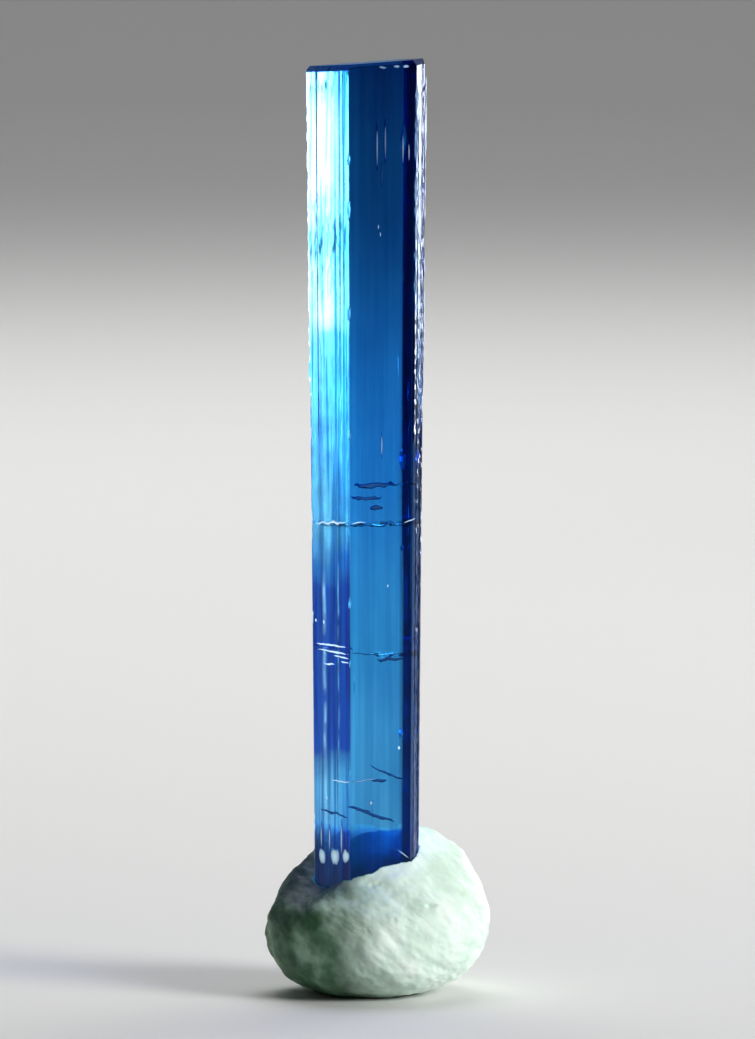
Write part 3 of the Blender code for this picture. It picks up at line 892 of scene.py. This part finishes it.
PITS = [
    ((-0.77, -3.38, 6.27), 0.34, 0.12),
    ((-0.30, -3.41, 6.20), 0.30, 0.10),
    ((0.03, -3.38, 6.32), 0.24, 0.10),
    ((2.72, -4.17, 5.18), 0.22, 0.20),
    ((2.90, -4.15, 5.20), 0.22, 0.24),
    ((3.08, -4.13, 5.25), 0.18, 0.14),
]
# Creases run at a slant over the lump, in degrees, and are longer than they are wide. Small lumps
# lie all over it.
CREASE_SIZE, CREASE_DEPTH, CREASE_SLANT, CREASE_STRETCH = 1.5 * MM, 0.11 * MM, -35, 2.2
LUMP_SIZE, LUMP_DEPTH = 0.55 * MM, 0.018 * MM


def lump_place(way):
    """Where the unit direction way meets the surface of the lump."""
    above = way.z > 0
    height = PUTTY_CROWN if above else PUTTY_BELLY
    power = CROWN_FULLNESS if above else BELLY_FULLNESS
    level = hypot(2 * way.x / PUTTY_WIDTH, 2 * way.y / PUTTY_DEPTH)
    place = way * (level**power + abs(way.z / height) ** power) ** (-1 / power)
    if above:
        place.z *= 1 + RISE_TO_BACK * place.y / PUTTY_CROWN
    lifted = max(0.0, place.x - LIFT_START) / (PUTTY_WIDTH / 2 - LIFT_START)
    place.z += PUTTY_WAIST + RIGHT_LIFT * lifted**2
    return place


slant = Matrix.Rotation(radians(CREASE_SLANT), 3, "Y")


def pressed(place):
    """Sinks a point of the lump towards its middle by its dents and pits, and creases it."""
    inwards = (Vector((0, 0, PUTTY_WAIST)) - place).normalized()
    sunk = 0.0
    for middle, radius, depth in DENTS + PITS:
        away = (place - Vector(middle) * MM).length / (radius * MM)
        sunk += depth * MM * max(0.0, 1 - away**2) ** 2
    slanted = slant @ place
    slanted.z *= CREASE_STRETCH
    sunk += CREASE_DEPTH * noise.fractal(slanted / CREASE_SIZE, 0.9, 2.1, 4)
    sunk += LUMP_DEPTH * noise.fractal(place / LUMP_SIZE, 0.8, 2.0, 3)
    return place + inwards * sunk


# The pocket fits the crystal at the height where it goes in
MOUTH_SCALE = FOOT_SCALE + 0.012
mouth_sides = []
for corner, normal in zip(CORNERS, FACE_NORMALS):
    side = CRYSTAL_AXIS + (corner - CRYSTAL_AXIS) * MOUTH_SCALE
    mouth_sides.append((side + normal * SNUG_GAP, normal))


def beside_crystal(place):
    """How far a point is from the pocket's sides in plan. It is negative inside."""
    return max((place - side).dot(normal) for side, normal in mouth_sides)


def with_lip(place):
    """Raises a point of the crown that is close to the crystal to the height of the lip."""
    away = max(0.0, beside_crystal(place)) / LIP_WIDTH
    if place.z > PUTTY_WAIST and away < 1:
        ragged = 1 + LIP_RAGGEDNESS * noise.noise(place / LIP_LUMPS)
        place.z += LIP_HEIGHT * ragged * (1 - away) ** 2
    return place


bm = bmesh.new()
bmesh.ops.create_icosphere(bm, subdivisions=7, radius=1)
for vert in bm.verts:
    vert.co = with_lip(pressed(lump_place(vert.co.normalized())))
cut_off(bm, Vector((0, 0, 0)), -UP)

# The pocket: the lump is scored along the six sides of the crystal, the skin inside them is
# taken off, and the rim is drawn down to below the crystal's foot.
POCKET_SHADE = 0.35 * MM  # within this far of its mouth it takes on its painted shade
POCKET_FLOOR = FOOT_HEIGHT - 0.5 * MM
MOUTH_MARGIN = 1.0 * MM  # the skin is scored this far round the pocket
crown = [f for f in bm.faces if f.calc_center_median().z > PUTTY_WAIST]
crown = [f for f in crown if beside_crystal(f.calc_center_median()) < MOUTH_MARGIN]
for side, normal in mouth_sides:
    geom = crown + list({e for f in crown for e in f.edges}) + list({v for f in crown for v in f.verts})
    scored = bmesh.ops.bisect_plane(bm, geom=geom, dist=1e-8, plane_co=side, plane_no=normal)["geom"]
    crown = [f for f in scored if isinstance(f, bmesh.types.BMFace)]
skin = [f for f in crown if beside_crystal(f.calc_center_median()) < 0]
bmesh.ops.delete(bm, geom=skin, context="FACES")
mouth_rim = [e for e in bm.edges if e.is_boundary]
mouth = {vert for edge in mouth_rim for vert in edge.verts}


def drawn_down(rim, new_height):
    """Draws a rim down as a wall, each point to its new height, and gives the wall's lower rim."""
    wall = bmesh.ops.extrude_edge_only(bm, edges=rim)["geom"]
    for vert in wall:
        if isinstance(vert, bmesh.types.BMVert):
            vert.co.z = new_height(vert.co.z)
    return [e for e in wall if isinstance(e, bmesh.types.BMEdge) and e.is_boundary]


shaded_rim = drawn_down(mouth_rim, lambda height: height - POCKET_SHADE)
floor_rim = drawn_down(shaded_rim, lambda height: POCKET_FLOOR)
bmesh.ops.contextual_create(bm, geom=floor_rim)

# The putty has painted shade inside the pocket, least at the back right, which light reaches through the
# crystal. Its left shoulder has the crystal's shadow painted on it in blue-black, with a patchy edge.
POCKET_PAINTED_SHADE, POCKET_LIT_SIDE, LIT_SIDE_FADE = 0.95, 0.95, 3.0 * MM
ON_THE_WALL = 0.01 * MM
# A painted shadow: the crystal's shadow, painted blue-black on the putty's left shoulder with a patchy
# edge
PAINTED_SHADOW, PAINTED_SHADOW_REACH, PAINTED_SHADOW_DARKNESS = Vector((-4.1, -1.3, 7.4)) * MM, 2.9 * MM, 0.9
PAINTED_SHADOW_CORE, PAINTED_SHADOW_SHARPNESS, PAINTED_SHADOW_PATCH, PAINTED_SHADOW_PATCHINESS = 1.4, 1.6, 0.9 * MM, 0.25
pocket_mask = bm.verts.layers.float.new("pocket")
painted_shadow_mask = bm.verts.layers.float.new("painted_shadow")
for vert in bm.verts:
    inside = beside_crystal(vert.co) < ON_THE_WALL and vert.co.z > MM
    vert[pocket_mask] = POCKET_PAINTED_SHADE * (inside and vert not in mouth)
    if vert.co.y > CRYSTAL_AXIS.y:
        rightness = held(0.5 + (vert.co.x - CRYSTAL_AXIS.x) / LIT_SIDE_FADE)
        vert[pocket_mask] *= 1 - POCKET_LIT_SIDE * rightness
    nearness = PAINTED_SHADOW_CORE - (vert.co - PAINTED_SHADOW).length / PAINTED_SHADOW_REACH
    nearness += PAINTED_SHADOW_PATCHINESS * noise.noise(vert.co / PAINTED_SHADOW_PATCH)
    vert[painted_shadow_mask] = held(nearness * PAINTED_SHADOW_SHARPNESS) * PAINTED_SHADOW_DARKNESS
bmesh.ops.recalc_face_normals(bm, faces=bm.faces)
shade_smooth(bm)

putty_finish, nodes, links, clay = new_material("mounting_putty")
clay.inputs["Specular IOR Level"].default_value = 0.35
where = nodes.new("ShaderNodeTexCoord").outputs["Object"]
cloud = noise_over(nodes, links, where, scale=420, detail=5)
clean = ramp(nodes, links, cloud, [
    (0.30, (0.56, 0.74, 0.59)),
    (0.50, (0.74, 0.92, 0.80)),
    (0.70, (0.86, 0.96, 0.89)),
])
smudges = noise_over(nodes, links, where, scale=520, detail=4)
grime_and_shade_colour = ramp(nodes, links, smudges, [
    (0.38, (0.03, 0.09, 0.04)),
    (0.50, (0.10, 0.21, 0.12)),
    (0.66, (0.32, 0.50, 0.35)),
])
# It is darker on its left and low down: partly its own mottled grime, partly painted shade on the side
# turned from the key light
grime_and_shade_side = nodes.new("ShaderNodeVectorMath")
grime_and_shade_side.operation = "DOT_PRODUCT"
grime_and_shade_side.inputs[1].default_value = (-0.93, 0.10, -0.35)
links.new(where, grime_and_shade_side.inputs[0])
blotches = noise_over(nodes, links, where, scale=330, detail=4)
grime_and_shade = zone_over(
    nodes, links, grime_and_shade_side.outputs["Value"], blotches, wander=6 * MM, start=1 * MM, end=4 * MM
)
handled_and_shaded = mixed(nodes, links, "MIX", grime_and_shade, clean, grime_and_shade_colour)
# The crystal's painted shadow on the left shoulder
with_painted_shadow = mixed(nodes, links, "MIX", mask(nodes, "painted_shadow"), handled_and_shaded, (0.006, 0.022, 0.045, 1))
# Painted shade inside the pocket
pocket_shaded = mixed(nodes, links, "MIX", mask(nodes, "pocket"), with_painted_shadow, (0.03, 0.34, 0.16, 1))
links.new(pocket_shaded, clay.inputs["Base Color"])
matness = remapped(nodes, links, cloud, low=0, high=1, to_low=0.45, to_high=0.68)
links.new(matness, clay.inputs["Roughness"])
grain = noise_over(nodes, links, where, scale=2600, detail=6)
grained = bumped(nodes, links, grain, strength=0.5, distance=0.05 * MM)
links.new(grained, clay.inputs["Normal"])

putty = finished_piece("putty_lump", bm, putty_finish)
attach(putty, "root")
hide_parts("putty")


# ------------------------------------------------ the cove
# A round pale studio cove: a flat floor that curves up into a low wall all the way round.

FLOOR_RADIUS, COVE_BEND, COVE_WALL = 1.3, 0.5, 0.4
BEND_STEPS = 16

bm = bmesh.new()
profile = [Vector((0, 0, 0)), Vector((FLOOR_RADIUS, 0, 0))]
for step in range(1, BEND_STEPS + 1):
    turn = step / BEND_STEPS * pi / 2
    profile.append(Vector((FLOOR_RADIUS + COVE_BEND * sin(turn), 0, COVE_BEND * (1 - cos(turn)))))
profile.append(Vector((FLOOR_RADIUS + COVE_BEND, 0, COVE_BEND + COVE_WALL)))
verts = [bm.verts.new(point) for point in profile]
edges = [bm.edges.new(pair) for pair in zip(verts, verts[1:])]
bmesh.ops.spin(
    bm, geom=verts + edges, cent=(0, 0, 0), axis=UP, angle=2 * pi, steps=96, use_merge=True
)
bmesh.ops.remove_doubles(bm, verts=bm.verts, dist=1e-6)
bmesh.ops.recalc_face_normals(bm, faces=bm.faces)
bmesh.ops.reverse_faces(bm, faces=bm.faces)
shade_smooth(bm)
cove_paint, nodes, links, paint = new_material("pale_cove_paint")
paint.inputs["Base Color"].default_value = (0.72, 0.72, 0.71, 1)
paint.inputs["Roughness"].default_value = 0.7
cove = finished_piece("cove", bm, cove_paint)


# ---------------------------------------------- the lights
# A softbox low down behind and to the right shines through the front-left face, one at the front
# right models the putty, and two overhead light the floor and the wall behind.


def softbox(name, towards, distance, rise, aim, size, power, spread):
    """An area light that way round from +X, that far off and that high, which faces aim. Its power
    is in watts, and it spreads its light over that many degrees."""
    light = bpy.data.lights.new(name, "AREA")
    light.shape = "RECTANGLE"
    light.size, light.size_y = size
    light.energy = power
    light.spread = radians(spread)
    lamp = bpy.data.objects.new(name, light)
    lamp.location = outward(towards) * distance + UP * rise
    lamp.rotation_euler = (lamp.location - aim).to_track_quat("Z", "Y").to_euler()
    lamp.visible_camera = False
    bpy.context.scene.collection.objects.link(lamp)


softbox(
    "back_right_softbox",
    towards=47, distance=0.42, rise=0.075, aim=UP * 0.06,
    size=(0.20, 0.14), power=0.12, spread=60,
)
softbox(
    "key_softbox",
    towards=-28, distance=0.45, rise=0.22, aim=UP * 0.01,
    size=(0.20, 0.20), power=0.28, spread=60,
)
softbox(
    "floor_softbox",
    towards=90, distance=0.34, rise=0.55, aim=Vector((0, 0.34, 0)),
    size=(0.40, 0.46), power=0.90, spread=90,
)
softbox(
    "wall_softbox",
    towards=90, distance=0.90, rise=1.10, aim=Vector((0, 0.90, 0)),
    size=(1.20, 0.80), power=4.5, spread=180,
)

# A snooted spot from the left picks out the films and frosted lines of the front-left face alone.
SNOOT_PLACE, SNOOT_AIM = outward(-150) * 0.45 + UP * 0.075, UP * 0.0195
snoot_light = bpy.data.lights.new("left_spot", "SPOT")
snoot_light.energy = 8.0
snoot_light.spot_size = radians(3.5)
snoot_light.spot_blend = 0.4
snoot_light.shadow_soft_size = 0.004
snoot = bpy.data.objects.new("left_spot", snoot_light)
snoot.location = SNOOT_PLACE
snoot.rotation_euler = (snoot.location - SNOOT_AIM).to_track_quat("Z", "Y").to_euler()
snoot.visible_camera = False
bpy.context.scene.collection.objects.link(snoot)

# A little cool light from all round
room = bpy.data.worlds.new("room")
room.use_nodes = True
glow = room.node_tree.nodes["Background"]
glow.inputs["Color"].default_value = (0.9, 0.95, 1.0, 1)
glow.inputs["Strength"].default_value = 0.06
bpy.context.scene.world = room


# ---------------------------------------------- the camera
# A long lens straight in front, a little above the specimen.

CAMERA_DISTANCE = 0.42
CAMERA_ELEVATION = 5.0
VIEW_TALL = 55.4 * MM  # how much of the specimen's plane the picture takes in, top to bottom
AIM = Vector((0, 0, 25.4)) * MM

lens = bpy.data.cameras.new("camera")
lens.sensor_width = 36
lens.lens = lens.sensor_width * CAMERA_DISTANCE / VIEW_TALL
lens.clip_start, lens.clip_end = 0.01, 10
camera = bpy.data.objects.new("camera", lens)
away = Vector((0, -cos(radians(CAMERA_ELEVATION)), sin(radians(CAMERA_ELEVATION))))
camera.location = AIM + away * CAMERA_DISTANCE
camera.rotation_euler = away.to_track_quat("Z", "Y").to_euler()
bpy.context.scene.collection.objects.link(camera)
bpy.context.scene.camera = camera
bpy.context.scene.view_settings.view_transform = "Standard"
